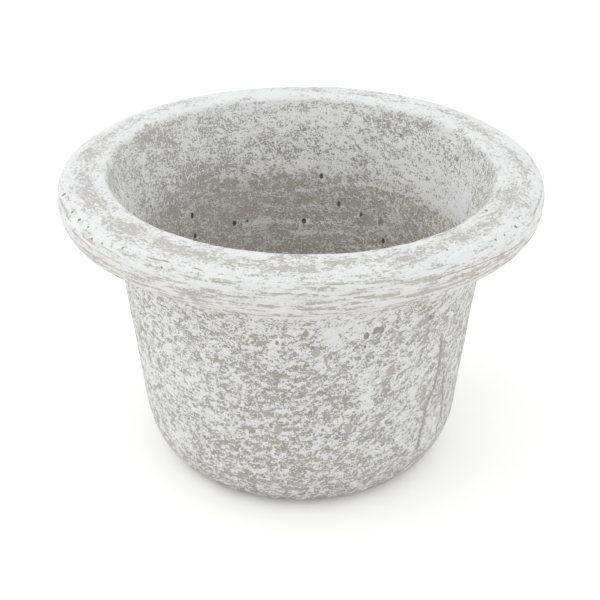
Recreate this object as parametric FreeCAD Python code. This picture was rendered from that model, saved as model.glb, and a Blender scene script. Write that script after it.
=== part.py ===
import FreeCAD, Part
import math
import os

# Round cast concrete planter with a rolled rim, in millimetres.
# +Z is up. The origin is at floor level, under the centre of the pot.
# Heights named below are counted from the underside of the casting.

# Rolled rim
RIM_RADIUS = 200.0
RIM_WIDTH = 40.5
RIM_THICKNESS = 34.0
RIM_WIDEST_DROP = 13.5
RIM_UNDERSIDE_INSET = 11.0
LIP_ROUNDING = 5.0

# Body below the rim
POT_HEIGHT = 255.0
RIM_OVERHANG = 48.5
NECK_DROP = 83.5
WALL_DRAFT_DEG = 6.4
WALL = 12.0
FLOOR = 20.0
FLOOR_CORNER = 24.0
BASE_CORNER_HEIGHT = 41.0
BASE_CORNER_INSET = 18.0

# How full each curved stretch is: 0 is a straight chamfer, 0.71 a quarter circle, above 1 nearly square
RIM_TOP_FULLNESS = 1.35
RIM_UNDERSIDE_FULLNESS = 0.85
LIP_FULLNESS = 0.75
COVE_FULLNESS = 0.8
BASE_CORNER_FULLNESS = 0.55
FLOOR_CORNER_FULLNESS = 0.7
MOUTH_FLARE_FULLNESS = 1.0

# Steel hoop in the rim
HOOP_WIRE = 5.0

# Drain sleeve in the floor
DRAIN_TOP_RADIUS = 13.5
DRAIN_TAPER_DEG = 4.0
SLEEVE_WALL = 3.0
SLEEVE_COLLAR_WIDTH = 6.0
SLEEVE_COLLAR_THICKNESS = 3.0
SLEEVE_RIB_WIDTH = 4.0
SLEEVE_RIB_THICKNESS = 3.0

# Drain stopper
PLUG_CLEARANCE = 0.3
PLUG_STEM_LENGTH = 15.0
PLUG_FLANGE_OVERLAP = 6.0
PLUG_FLANGE_THICKNESS = 3.5
PLUG_NECK_RADIUS = 5.0
PLUG_NECK_HEIGHT = 5.0
PLUG_KNOB_RADIUS = 9.0
PLUG_KNOB_HEIGHT = 6.0
PLUG_EDGE = 1.2

# Pads under the base
PAD_COUNT = 4
PAD_RADIUS = 16.0
PAD_THICKNESS = 3.0
PAD_EDGE = 0.8
PAD_INSET = 12.0

FULL_TURN = 360.0
AXIS = FreeCAD.Vector(0, 0, 1)
ORIGIN = FreeCAD.Vector(0, 0, 0)


def at(radius, height):
    """Point of a profile, from its radius and its height above the underside of the casting."""
    return FreeCAD.Vector(radius, 0, PAD_THICKNESS + height)


def line(start, end):
    return Part.LineSegment(start, end).toShape()


def conic(start, corner, end, fullness):
    """Curve that leaves start towards corner and arrives at end from corner."""
    curve = Part.BezierCurve()
    curve.setPoles([start, corner, end])
    curve.setWeight(2, fullness)
    return curve.toShape()


def revolve(edges):
    """Solid of revolution about the axis of the pot, from the closed outline of its section."""
    face = Part.Face(Part.Wire(edges))
    return face.revolve(ORIGIN, AXIS, FULL_TURN)


def revolve_points(points):
    return revolve([line(a, b) for a, b in zip(points, points[1:] + points[:1])])


# Places on the section of the pot, shared by the pieces

MOUTH_RADIUS = RIM_RADIUS - RIM_WIDTH
RIM_UNDERSIDE = POT_HEIGHT - RIM_THICKNESS
NECK_HEIGHT = POT_HEIGHT - NECK_DROP
NECK_RADIUS = RIM_RADIUS - RIM_OVERHANG
DRAFT = math.tan(math.radians(WALL_DRAFT_DEG))
DRAIN_TAPER = math.tan(math.radians(DRAIN_TAPER_DEG))


def outer_wall_radius(height):
    """Radius of the straight outer wall, or of its run beyond either end."""
    return NECK_RADIUS + (height - NECK_HEIGHT) * DRAFT


def inner_wall_radius(height):
    return outer_wall_radius(height) - WALL


def drain_radius(height):
    """Radius of the tapered drain at a height between the underside and the floor."""
    return DRAIN_TOP_RADIUS - (FLOOR - height) * DRAIN_TAPER


BASE_RADIUS = outer_wall_radius(0) - BASE_CORNER_INSET


def outer_section():
    """Outside of the pot, from the axis under the base to the crown of the lip."""
    base_end = at(BASE_RADIUS, 0)
    wall_start = at(outer_wall_radius(BASE_CORNER_HEIGHT), BASE_CORNER_HEIGHT)
    neck = at(NECK_RADIUS, NECK_HEIGHT)
    underside = at(RIM_RADIUS - RIM_UNDERSIDE_INSET, RIM_UNDERSIDE)
    widest = at(RIM_RADIUS, POT_HEIGHT - RIM_WIDEST_DROP)
    crown = at(MOUTH_RADIUS + LIP_ROUNDING, POT_HEIGHT)
    return [
        line(at(0, 0), base_end),
        conic(base_end, at(outer_wall_radius(0), 0), wall_start, BASE_CORNER_FULLNESS),
        line(wall_start, neck),
        conic(neck, at(outer_wall_radius(RIM_UNDERSIDE), RIM_UNDERSIDE), underside, COVE_FULLNESS),
        conic(underside, at(RIM_RADIUS, RIM_UNDERSIDE), widest, RIM_UNDERSIDE_FULLNESS),
        conic(widest, at(RIM_RADIUS, POT_HEIGHT), crown, RIM_TOP_FULLNESS),
    ]


def inner_section():
    """Inside of the pot, from the crown of the lip to the axis on the floor."""
    crown = at(MOUTH_RADIUS + LIP_ROUNDING, POT_HEIGHT)
    edge = at(MOUTH_RADIUS, POT_HEIGHT)
    turn_height = (NECK_HEIGHT + POT_HEIGHT) / 2
    turn = at(inner_wall_radius(turn_height), turn_height)
    lip = edge + (turn - edge).normalize() * LIP_ROUNDING
    neck = at(inner_wall_radius(NECK_HEIGHT), NECK_HEIGHT)
    corner_top = FLOOR + FLOOR_CORNER
    wall_foot = at(inner_wall_radius(corner_top), corner_top)
    floor_edge = at(inner_wall_radius(FLOOR) - FLOOR_CORNER, FLOOR)
    return [
        conic(crown, edge, lip, LIP_FULLNESS),
        conic(lip, turn, neck, MOUTH_FLARE_FULLNESS),
        line(neck, wall_foot),
        conic(wall_foot, at(inner_wall_radius(FLOOR), FLOOR), floor_edge, FLOOR_CORNER_FULLNESS),
        line(floor_edge, at(0, FLOOR)),
        line(at(0, FLOOR), at(0, 0)),
    ]


def sleeve_outline():
    """Outer outline of the drain sleeve, from its foot to its collar, which is flush with the floor."""
    rib_bottom = (FLOOR - SLEEVE_COLLAR_THICKNESS - SLEEVE_RIB_THICKNESS) / 2
    rib_top = rib_bottom + SLEEVE_RIB_THICKNESS
    tube = DRAIN_TOP_RADIUS + SLEEVE_WALL
    rib = tube + SLEEVE_RIB_WIDTH
    collar = tube + SLEEVE_COLLAR_WIDTH
    collar_bottom = FLOOR - SLEEVE_COLLAR_THICKNESS
    return [
        at(tube, 0),
        at(tube, rib_bottom),
        at(rib, rib_bottom),
        at(rib, rib_top),
        at(tube, rib_top),
        at(tube, collar_bottom),
        at(collar, collar_bottom),
        at(collar, FLOOR),
    ]


def make_rim_hoop():
    """Wire hoop in the middle of the rim's section."""
    radius = (MOUTH_RADIUS + RIM_RADIUS) / 2
    height = (RIM_UNDERSIDE + POT_HEIGHT) / 2
    return Part.makeTorus(radius, HOOP_WIRE / 2, at(0, height), AXIS)


def make_drain_sleeve():
    """Tapered plastic bush with a collar on the floor and a rib that keys it into the concrete."""
    bore = [at(drain_radius(FLOOR), FLOOR), at(drain_radius(0), 0)]
    return revolve_points(sleeve_outline() + bore)


def make_concrete_pot(hoop):
    """Whole casting, with the room that the sleeve and the hoop take in it."""
    casting = revolve(outer_section() + inner_section())
    drain = revolve_points(sleeve_outline() + [at(0, FLOOR), at(0, 0)])
    return casting.cut(drain).cut(hoop)


def make_drain_plug():
    """Rubber stopper: tapered stem in the sleeve, flange on its collar, and a knob to pull."""
    stem_end = FLOOR - PLUG_STEM_LENGTH
    flange_radius = DRAIN_TOP_RADIUS + PLUG_FLANGE_OVERLAP
    flange_top = FLOOR + PLUG_FLANGE_THICKNESS
    knob_bottom = flange_top + PLUG_NECK_HEIGHT
    knob_top = knob_bottom + PLUG_KNOB_HEIGHT
    stem_foot = drain_radius(stem_end) - PLUG_CLEARANCE
    return revolve_points([
        at(0, stem_end),
        at(stem_foot - PLUG_EDGE, stem_end),
        at(stem_foot, stem_end + PLUG_EDGE),
        at(drain_radius(FLOOR) - PLUG_CLEARANCE, FLOOR),
        at(flange_radius, FLOOR),
        at(flange_radius, flange_top - PLUG_EDGE),
        at(flange_radius - PLUG_EDGE, flange_top),
        at(PLUG_NECK_RADIUS, flange_top),
        at(PLUG_NECK_RADIUS, knob_bottom),
        at(PLUG_KNOB_RADIUS, knob_bottom + PLUG_EDGE),
        at(PLUG_KNOB_RADIUS, knob_top - PLUG_EDGE),
        at(PLUG_KNOB_RADIUS - PLUG_EDGE, knob_top),
        at(0, knob_top),
    ])


def make_foot_pads():
    """Ring of glued pads on the flat of the base, each with a broken lower edge."""
    ring_radius = BASE_RADIUS - PAD_INSET - PAD_RADIUS
    pad = Part.makeCone(PAD_RADIUS - PAD_EDGE, PAD_RADIUS, PAD_EDGE)
    disc = Part.makeCylinder(PAD_RADIUS, PAD_THICKNESS - PAD_EDGE, FreeCAD.Vector(0, 0, PAD_EDGE))
    pad = pad.fuse(disc).removeSplitter()
    pads = []
    for index in range(PAD_COUNT):
        angle = math.radians(FULL_TURN * (index + 0.5) / PAD_COUNT)
        place = FreeCAD.Vector(ring_radius * math.cos(angle), ring_radius * math.sin(angle), 0)
        pads.append(pad.translated(place))
    return Part.makeCompound(pads)


def main():
    hoop = make_rim_hoop()
    nodes = {
        "concrete_pot": make_concrete_pot(hoop),
        "rim_hoop": hoop,
        "drain_sleeve": make_drain_sleeve(),
        "drain_plug": make_drain_plug(),
        "foot_pads": make_foot_pads(),
    }
    os.makedirs("parts", exist_ok=True)
    for name, shape in nodes.items():
        shape.exportStep(f"parts/{name}.step")
        print(f"{name}: {len(shape.Solids)} solid(s), {shape.Volume / 1000:.1f} cm3, valid {shape.isValid()}")


main()
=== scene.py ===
"""Round planter cast in concrete, whitewashed and wiped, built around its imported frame."""

import math

import bpy
import numpy as np
from bpy.props import FloatProperty, FloatVectorProperty, IntProperty, PointerProperty
from mathutils import Matrix, Vector
from mathutils.bvhtree import BVHTree


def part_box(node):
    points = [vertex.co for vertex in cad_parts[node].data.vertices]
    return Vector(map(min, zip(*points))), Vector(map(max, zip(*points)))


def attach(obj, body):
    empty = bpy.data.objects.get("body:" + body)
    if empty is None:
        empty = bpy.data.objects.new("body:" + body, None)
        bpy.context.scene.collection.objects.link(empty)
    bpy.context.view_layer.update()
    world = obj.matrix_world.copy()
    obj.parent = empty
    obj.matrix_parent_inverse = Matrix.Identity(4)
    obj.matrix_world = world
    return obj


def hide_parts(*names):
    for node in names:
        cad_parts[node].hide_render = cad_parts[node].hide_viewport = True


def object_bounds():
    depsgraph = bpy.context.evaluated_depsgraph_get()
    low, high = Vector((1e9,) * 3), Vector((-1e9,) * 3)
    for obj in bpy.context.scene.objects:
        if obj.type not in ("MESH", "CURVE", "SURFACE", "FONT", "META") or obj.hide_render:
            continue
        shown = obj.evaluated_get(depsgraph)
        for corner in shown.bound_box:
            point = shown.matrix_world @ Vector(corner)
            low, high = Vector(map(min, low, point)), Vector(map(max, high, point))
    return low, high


bl_info = {
    "name": "Whitewashed planter",
    "version": (1, 0, 0),
    "blender": (4, 5, 0),
    "location": "3D View > Sidebar > Planter",
    "description": "Builds a round concrete planter with its drain, pads and studio stage",
    "category": "Add Mesh",
}

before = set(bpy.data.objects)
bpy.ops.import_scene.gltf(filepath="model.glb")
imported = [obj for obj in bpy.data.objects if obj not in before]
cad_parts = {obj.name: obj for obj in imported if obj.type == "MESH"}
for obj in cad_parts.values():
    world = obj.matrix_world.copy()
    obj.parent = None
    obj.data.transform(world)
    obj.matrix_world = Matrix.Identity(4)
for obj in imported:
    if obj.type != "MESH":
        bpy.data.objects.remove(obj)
CAD_LOW, CAD_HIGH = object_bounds()
PAD_HIGH, PLUG_HIGH, SLEEVE_HIGH = (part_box(node)[1] for node in ("foot_pads", "drain_plug", "drain_sleeve"))

# Radius of a pad, and of the circle that the four pads lie on
PAD_RADIUS = 0.016
PAD_RING = (PAD_HIGH.x - PAD_RADIUS) * math.sqrt(2)

# Side of the square picture, in pixels
PICTURE = 600


def srgb(red, green, blue):
    """Linear colour from screen values between 0 and 255."""
    return tuple(((v / 255 + 0.055) / 1.055) ** 2.4 for v in (red, green, blue))


# Properties

def length(name, about, default):
    return FloatProperty(
        name=name, description=about, default=default, min=0, precision=4, unit="LENGTH", subtype="DISTANCE"
    )


def angle(name, about, degrees):
    return FloatProperty(
        name=name, description=about, default=math.radians(degrees), unit="ROTATION", subtype="ANGLE"
    )


def share(name, about, default):
    return FloatProperty(name=name, description=about, default=default, min=0, max=4)


def count(name, about, default):
    return IntProperty(name=name, description=about, default=default, min=1)


def pixels(name, about, default):
    return FloatProperty(name=name, description=about, default=default, subtype="PIXEL")


def watts(name, about, default):
    return FloatProperty(name=name, description=about, default=default, min=0, unit="POWER")


def colour(name, about, default):
    return FloatVectorProperty(
        name=name, description=about, default=default, size=3, min=0, max=1, subtype="COLOR"
    )


class CastingSizes(bpy.types.PropertyGroup):
    """Sizes of the concrete casting, with heights counted from its underside."""

    pad_thickness: length("Pad thickness", "Height of the underside above the floor", PAD_HIGH.z)
    rim_radius: length("Rim radius", "Radius of the rim at its widest", CAD_HIGH.x)
    rim_width: length("Rim width", "From the mouth's edge to the rim's widest line", 0.0405)
    rim_thickness: length("Rim thickness", "Height of the roll of the rim", 0.034)
    rim_widest_drop: length("Rim widest drop", "How far the widest line lies below the top", 0.0135)
    rim_underside_inset: length("Rim underside inset", "How far the roll turns in underneath", 0.011)
    lip_rounding: length("Lip rounding", "Rounding of the inner edge", 0.005)
    pot_height: length("Pot height", "Height of the casting", CAD_HIGH.z - PAD_HIGH.z)
    rim_overhang: length("Rim overhang", "From the neck to the rim's widest line", 0.0485)
    neck_drop: length("Neck drop", "How far the top of the straight wall lies below the top", 0.0835)
    wall_draft: angle("Wall draft", "Lean of the wall", 6.4)
    wall: length("Wall", "Thickness of the wall", 0.012)
    floor: length("Floor", "Thickness of the floor", 0.02)
    floor_corner: length("Floor corner", "Rounding between wall and floor, inside", 0.024)
    base_corner_height: length("Base corner height", "Height of the rounded foot", 0.041)
    base_corner_inset: length("Base corner inset", "How far the foot turns in", 0.018)
    rim_top_fullness: share("Rim top fullness", "How square the top of the roll is", 1.35)
    rim_underside_fullness: share("Rim underside fullness", "How square the roll is below", 0.85)
    lip_fullness: share("Lip fullness", "How square the inner edge is", 0.75)
    cove_fullness: share("Cove fullness", "How tight the hollow below the rim is", 0.8)
    base_corner_fullness: share("Base corner fullness", "How square the foot is", 0.55)
    floor_corner_fullness: share("Floor corner fullness", "How tight the inside corner is", 0.7)
    mouth_flare_fullness: share("Mouth flare fullness", "How late the wall turns to the mouth", 1.0)
    seat_radius: length("Seat radius", "Radius of the hole that holds the sleeve", 0.0165)
    seat_collar_radius: length("Seat collar radius", "Radius of the sleeve's collar", SLEEVE_HIGH.x)
    seat_collar_depth: length("Seat collar depth", "Depth of the sleeve's collar", 0.003)
    hoop_radius: length("Hoop radius", "Radius of the wire hoop in the rim", 0.17975)
    hoop_drop: length("Hoop drop", "Depth of the hoop's middle below the top", 0.017)
    hoop_wire: length("Hoop wire", "Diameter of the wire", 0.005)
    columns: count("Columns", "Steps round the pot", 336)
    spacing: length("Spacing", "Step along the section", 0.003)
    waviness: length("Waviness", "Slow hand-made unevenness of the surface", 0.0007)
    lumps: length("Lumps", "Quick unevenness of the surface", 0.0003)
    lip_lobes: length("Lip lobes", "How far the mouth is from a true circle", 0.0024)
    lip_lobes_turn: angle("Lip lobes turn", "Direction in which the mouth is widest", -40)
    air_holes: FloatProperty(
        name="Air holes", description="Scattered air holes in a square metre", default=260, min=0
    )
    air_hole_small: length("Smallest air hole", "Radius of the smallest scattered air hole", 0.0005)
    air_hole_large: length("Largest air hole", "Radius of the largest scattered air hole", 0.0018)
    air_hole_height: share("Air hole height", "Height of an air hole that is seen, in its widths", 1.45)
    air_hole_sink: share("Air hole sink", "How far an air hole's middle lies below the surface, in its radii", 0.55)
    pock_lift: share("Pock lift", "How far a pock's middle lies out of the surface, in its radii", 0.3)
    dent_lift: share("Dent lift", "How far a dent's middle lies out of the surface, in its radii", 0.84)
    groove_lift: share("Groove lift", "How far a groove's middle lies out of the surface, in its radii", 0.45)
    line_lift: share("Line lift", "How far a faint line's middle lies out of the surface, in its radii", 0.72)
    seed: count("Seed", "Start of everything that is left to chance", 11)


class FittingSizes(bpy.types.PropertyGroup):
    """Sizes of the stopper and the pads, with levels counted from the floor that the pot stands on."""

    drain_level: length("Drain level", "Level of the sleeve's collar", SLEEVE_HIGH.z)
    drain_radius: length("Drain radius", "Radius of the drain at its collar", 0.0135)
    drain_taper: angle("Drain taper", "Lean of the drain's wall", 4)
    clearance: length("Clearance", "Gap between stem and sleeve", 0.0003)
    stem_length: length("Stem length", "Length of the stopper's stem", 0.015)
    flange_radius: length("Flange radius", "Radius of the stopper's flange", PLUG_HIGH.x)
    flange_thickness: length("Flange thickness", "Thickness of the flange", 0.0035)
    neck_radius: length("Neck radius", "Radius of the stopper's neck", 0.005)
    neck_height: length("Neck height", "Height of the neck", 0.005)
    knob_radius: length("Knob radius", "Radius of the knob", 0.009)
    knob_height: length("Knob height", "Height of the knob", 0.006)
    plug_edge: length("Stopper edge", "Rounding of the stopper's edges", 0.0012)
    thumb_dish: length("Thumb dish", "Depth of the hollow in the knob", 0.0008)
    pad_count: count("Pad count", "Number of pads", 4)
    pad_radius: length("Pad radius", "Radius of a pad", PAD_RADIUS)
    pad_thickness: length("Pad thickness", "Thickness of a pad", PAD_HIGH.z)
    pad_edge: length("Pad edge", "Rounding of a pad's lower edge", 0.0008)
    pad_groove: length("Pad groove", "Width of the rings in a pad's tread", 0.002)
    pad_ring: length("Pad ring", "Radius of the circle that the pads lie on", PAD_RING)
    plug_columns: count("Stopper columns", "Steps round the stopper", 72)
    pad_columns: count("Pad columns", "Steps round a pad", 56)
    fitting_spacing: length("Fitting spacing", "Step along a fitting's section", 0.0007)


class FinishColours(bpy.types.PropertyGroup):
    """Colours of the materials."""

    wash: colour("Whitewash", "Lime wash where it is thick", srgb(242, 243, 244))
    thin_wash: colour("Thin whitewash", "Lime wash where it is rubbed thin, outside", srgb(224, 224, 221))
    inner_wash: colour("Inner whitewash", "Lime wash where it is rubbed thin, inside", srgb(250, 251, 252))
    film: colour("Film", "Bare concrete with a last film of wash in its grain", srgb(207, 205, 201))
    concrete: colour("Concrete", "Bare concrete", srgb(197, 194, 187))
    laitance: colour("Laitance", "Smooth cement skin in shallow dents and lines", srgb(194, 191, 183))
    dark_concrete: colour("Dark concrete", "Bare concrete in its darker patches", srgb(167, 163, 154))
    # Painted shade: this dark tone stands for the shade in pin holes, in deep air holes and under the raised edges
    # of the wash
    painted_hollow_shade: colour("Painted hollow shade", "Concrete in pin holes and under the edges of the wash", srgb(146, 142, 134))
    stain: colour("Stain", "Tint of clay water in the cove and low inside", srgb(255, 253, 249))
    sleeve: colour("Sleeve", "Moulded plastic of the drain sleeve", srgb(158, 158, 155))
    sleeve_scuff: colour("Sleeve scuff", "Rubbed places of the sleeve", srgb(188, 187, 184))
    rubber: colour("Rubber", "Rubber of the stopper and the pads", srgb(48, 47, 46))
    rubber_dust: colour("Rubber dust", "Cement dust on the rubber", srgb(104, 102, 98))
    steel: colour("Steel", "Drawn wire of the hoop", srgb(164, 161, 157))
    rust: colour("Rust", "Specks of rust on the wire", srgb(118, 84, 60))


class StageSettings(bpy.types.PropertyGroup):
    """Camera, lamps and floor."""

    elevation: angle("Elevation", "Height of the camera above the horizon", 29.01)
    distance: length("Distance", "From the camera to its target", 1.2)
    target_height: length("Target height", "Height of the target on the pot's axis", 0.1304)
    focal_pixels: pixels("Focal length", "Focal length of the camera", 1380.0)
    centre_pixels: pixels("Picture centre", "Shift of the picture's centre to the right", 0.77)
    sky: share("Sky", "Strength of the light from all round", 0.81)
    top_lamp: watts("Top lamp", "Power of the lamp overhead", 2.2)
    left_lamp: watts("Left lamp", "Power of the lamp on the left", 7.3)
    right_lamp: watts("Right lamp", "Power of the lamp on the right", 4.6)
    floor_glow: share("Floor glow", "How much lighter than its own shade the floor looks near the pot", 0.18)
    far_glow: share("Far glow", "How much lighter than its own shade the floor looks far off", 0.45)


# What the photograph shows: x and y in its own pixels, then a radius in metres

AIR_HOLES_SEEN = (
    (192.3, 216, 0.0023), (195.2, 236, 0.002), (234.4, 223.4, 0.0025), (247.4, 221, 0.0013), (321.4, 176.2, 0.0019),
    (339, 204.2, 0.0021), (304, 221, 0.0023), (361, 214.6, 0.0016), (383.2, 241, 0.002), (87.9, 227.1, 0.0009),
)

POCKS_SEEN = (
    (380.6, 222.9, 0.0029), (72.3, 212, 0.0013), (79.5, 219.6, 0.0014), (515.6, 226.6, 0.0014), (168.9, 164, 0.0011),
    (92, 238.2, 0.001), (102, 243.4, 0.001), (123, 247.7, 0.0009), (161.6, 267.3, 0.0008), (495.4, 239.5, 0.001),
    (447, 249.9, 0.001), (504.4, 234.9, 0.0009), (64, 194.5, 0.0018), (128.5, 281, 0.001), (366.4, 336, 0.0024),
    (430.2, 317.5, 0.002), (344, 366, 0.0014), (365, 346.8, 0.0012), (376.5, 330.5, 0.0026), (381.5, 330, 0.0027),
    (397.5, 322, 0.0014), (306, 334.1, 0.0024), (312.3, 348.2, 0.0017), (277, 343, 0.0014), (271, 425.3, 0.0017),
    (322.6, 430.2, 0.0014), (303.4, 476.5, 0.0012), (407, 343.5, 0.0014),
)

DENTS_SEEN = (
    (278, 431, 0.006), (348, 429, 0.0062), (391, 371, 0.0056), (425.5, 339, 0.005), (423, 394, 0.0058),
    (316, 353, 0.0058),
)

# Cracks, cuts and faint lines of the tool: radius in metres, then a path in pixels
GROOVES_SEEN = (
    (0.0014, ((445.6, 314), (444, 324), (442.3, 334), (440.3, 350), (439.6, 361), (437.6, 372), (433.6, 388),
              (428.9, 398.6), (424.9, 412), (422.2, 424), (418.8, 441), (415.1, 455), (411.5, 463))),
    (0.0012, ((441.9, 363.7), (443.6, 375.8), (442.9, 388), (441.9, 404), (440.3, 416), (436.9, 426.7),
              (434.9, 438.7))),
    (0.0006, ((529.4, 232.7), (519, 243.9), (503.5, 253.3), (488, 260.2), (470.8, 267.1), (453.6, 272.3),
              (436.4, 279.2), (419.2, 283.5))),
    (0.0007, ((142.9, 256.6), (157, 259.6), (173.2, 262.9))),
    (0.0007, ((291, 426), (297, 436), (301, 444))),
)

LINES_SEEN = (
    (0.0008, ((526, 240), (513.9, 249.9), (493.2, 261.9), (470.8, 272.4), (445, 281))),
    (0.0008, ((515, 253), (503, 261.5), (479, 276), (455, 287))),
    (0.0009, ((196.4, 278), (219, 281.6), (242.9, 285.2))),
    (0.0008, ((290, 286), (312.4, 284.6), (341.7, 283.5), (364, 282.6))),
    (0.0008, ((331, 280), (345, 279.5))),
    (0.0008, ((390, 274), (404, 273))),
    (0.0009, ((248, 293), (290, 294), (330, 295))),
    (0.0008, ((349, 298), (379.5, 294))),
    (0.0008, ((187.5, 267), (205, 271))),
    (0.0008, ((270, 281.6), (287.5, 284))),
    (0.0009, ((451.6, 333), (455, 338), (457, 345))),
    (0.0009, ((472, 286), (460, 298))),
    (0.0011, ((254, 390), (259, 405), (265, 416), (272, 423))),
    (0.0011, ((323, 352), (327, 364), (333, 375))),
)

# Bare strips along the cracks and pale ridges left by the tool inside: half width in pixels, change of cover, path
TRAILS_SEEN = (
    (2.8, -0.4, GROOVES_SEEN[0][1]),
    (2.4, -0.35, GROOVES_SEEN[1][1]),
    (2.2, 0.8, ((256, 195), (273, 193), (290, 191.5), (311, 190), (328, 187), (344, 184), (356, 183), (369, 184.5),
                (384, 188), (398, 191.5), (410, 196))),
    (2.4, 1.0, ((245, 225.5), (254, 222), (262, 221), (280, 221.3), (300, 222), (320, 222.5), (340, 222),
                (355, 222.5))),
    (2.4, 1.0, ((290, 232), (320, 233), (352, 232))),
    (2.4, 1.0, ((262, 206), (290, 207), (318, 206.5))),
    (2.8, 0.8, ((428, 196), (440, 207), (452, 219))),
)


# Node trees

class Wire:
    """Output of a node. Arithmetic on it adds Math nodes to its tree."""

    def __init__(self, plan, socket):
        self.plan = plan
        self.socket = socket

    def pick(self, name):
        """Another output of the same node."""
        found = next(s for s in self.socket.node.outputs if s.enabled and s.name == name)
        return Wire(self.plan, found)

    def __add__(self, other):
        return self.plan.math("ADD", self, other)

    def __radd__(self, other):
        return self.plan.math("ADD", other, self)

    def __sub__(self, other):
        return self.plan.math("SUBTRACT", self, other)

    def __rsub__(self, other):
        return self.plan.math("SUBTRACT", other, self)

    def __mul__(self, other):
        return self.plan.math("MULTIPLY", self, other)

    def __rmul__(self, other):
        return self.plan.math("MULTIPLY", other, self)

    def __truediv__(self, other):
        return self.plan.math("DIVIDE", self, other)

    def __rtruediv__(self, other):
        return self.plan.math("DIVIDE", other, self)

    def __pow__(self, other):
        return self.plan.math("POWER", self, other)


class Plan:
    """Node tree under construction."""

    def __init__(self, tree):
        self.tree = tree

    def add(self, kind, sockets=None, **settings):
        """New node: its settings first, then the values or links of its sockets. Gives its first output."""
        node = self.tree.nodes.new(kind)
        for name, value in settings.items():
            setattr(node, name, value)
        for key, value in (sockets or {}).items():
            if isinstance(key, int):
                target = node.inputs[key]
            else:
                target = next(s for s in node.inputs if s.enabled and s.name == key)
            for item in value if isinstance(value, list) else [value]:
                if isinstance(item, Wire):
                    self.tree.links.new(item.socket, target)
                else:
                    target.default_value = item
        first = next((s for s in node.outputs if s.enabled), None)
        return Wire(self, first) if first else None

    def math(self, operation, *values):
        return self.add("ShaderNodeMath", dict(enumerate(values)), operation=operation)

    def vector(self, operation, *values):
        return self.add("ShaderNodeVectorMath", dict(enumerate(values)), operation=operation)

    def scaled(self, vector, by):
        return self.add("ShaderNodeVectorMath", {"Vector": vector, "Scale": by}, operation="SCALE")

    def xyz(self, x=0.0, y=0.0, z=0.0):
        return self.add("ShaderNodeCombineXYZ", {"X": x, "Y": y, "Z": z})

    def split(self, vector):
        node = self.add("ShaderNodeSeparateXYZ", {"Vector": vector})
        return node, node.pick("Y"), node.pick("Z")

    def ramp(self, value, low, high):
        """Rises smoothly from 0 at low to 1 at high."""
        sockets = {"Value": value, "From Min": low, "From Max": high}
        return self.add("ShaderNodeMapRange", sockets, interpolation_type="SMOOTHSTEP")

    def noise(self, vector, scale, detail=2.0, roughness=0.5, distortion=0.0):
        return self.add("ShaderNodeTexNoise", {
            "Vector": vector, "Scale": scale, "Detail": detail, "Roughness": roughness, "Distortion": distortion,
        })

    def blend(self, factor, first, second, way="MIX"):
        """Colour between two colours."""
        first, second = (c if isinstance(c, Wire) else (*c, 1.0) for c in (first, second))
        sockets = {"Factor": factor, "A": first, "B": second}
        return self.add("ShaderNodeMix", sockets, data_type="RGBA", blend_type=way)

    def attribute(self, name):
        """Number that a material reads from the mesh."""
        return self.add("ShaderNodeAttribute", attribute_name=name).pick("Fac")

    def named(self, name, kind="FLOAT"):
        """Value that a geometry tree reads from the mesh."""
        return self.add("GeometryNodeInputNamedAttribute", {"Name": name}, data_type=kind)

    def store(self, geometry, name, value, kind="FLOAT", domain="POINT"):
        sockets = {"Geometry": geometry, "Name": name, "Value": value}
        return self.add("GeometryNodeStoreNamedAttribute", sockets, data_type=kind, domain=domain)

    def ring(self, steps, radius):
        return self.add("GeometryNodeCurvePrimitiveCircle", {"Resolution": steps, "Radius": radius})

    def given(self, thing):
        """Geometry of an object that a tree is given."""
        return self.add("GeometryNodeObjectInfo", {"Object": thing}, transform_space="ORIGINAL").pick("Geometry")

    def chance(self, seed, low, high):
        """Another vector for each point, with its three numbers between low and high."""
        sockets = {"Min": (low,) * 3, "Max": (high,) * 3, "Seed": seed}
        return self.add("FunctionNodeRandomValue", sockets, data_type="FLOAT_VECTOR")


def geometry_tree(name, inputs, outputs):
    """Empty geometry tree with named sockets. Gives its plan and its inputs by name."""
    tree = bpy.data.node_groups.new(name, "GeometryNodeTree")
    for label, kind in inputs.items():
        tree.interface.new_socket(label, in_out="INPUT", socket_type=kind)
    for label, kind in outputs.items():
        tree.interface.new_socket(label, in_out="OUTPUT", socket_type=kind)
    plan = Plan(tree)
    entry = tree.nodes.new("NodeGroupInput")
    return plan, {label: Wire(plan, entry.outputs[label]) for label in inputs}


def piece_tree(name, sizes, **others):
    """Empty geometry tree of a piece, with an input for each number of a property group and for others."""
    kinds = {"FLOAT": "NodeSocketFloat", "INT": "NodeSocketInt"}
    properties = [sizes.bl_rna.properties[key] for key in sizes.__annotations__]
    inputs = {p.name: kinds[p.type] for p in properties}
    return geometry_tree(name, {**inputs, **others}, {"Geometry": "NodeSocketGeometry"})


def set_inputs(modifier, group, **others):
    """Gives a modifier the values of a property group, and others by the names of their sockets."""
    values = {group.bl_rna.properties[key].name: getattr(group, key) for key in group.__annotations__}
    values.update(others)
    for item in modifier.node_group.interface.items_tree:
        if item.in_out == "INPUT" and item.name in values:
            modifier[item.identifier] = values[item.name]


# Turned shapes

CONIC_RUN = "Conic run"

# Points nearer than this are one, in metres
WELD = 1e-6

# Edges that bend more than this stay sharp
SHARP_EDGE = math.radians(35)


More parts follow.
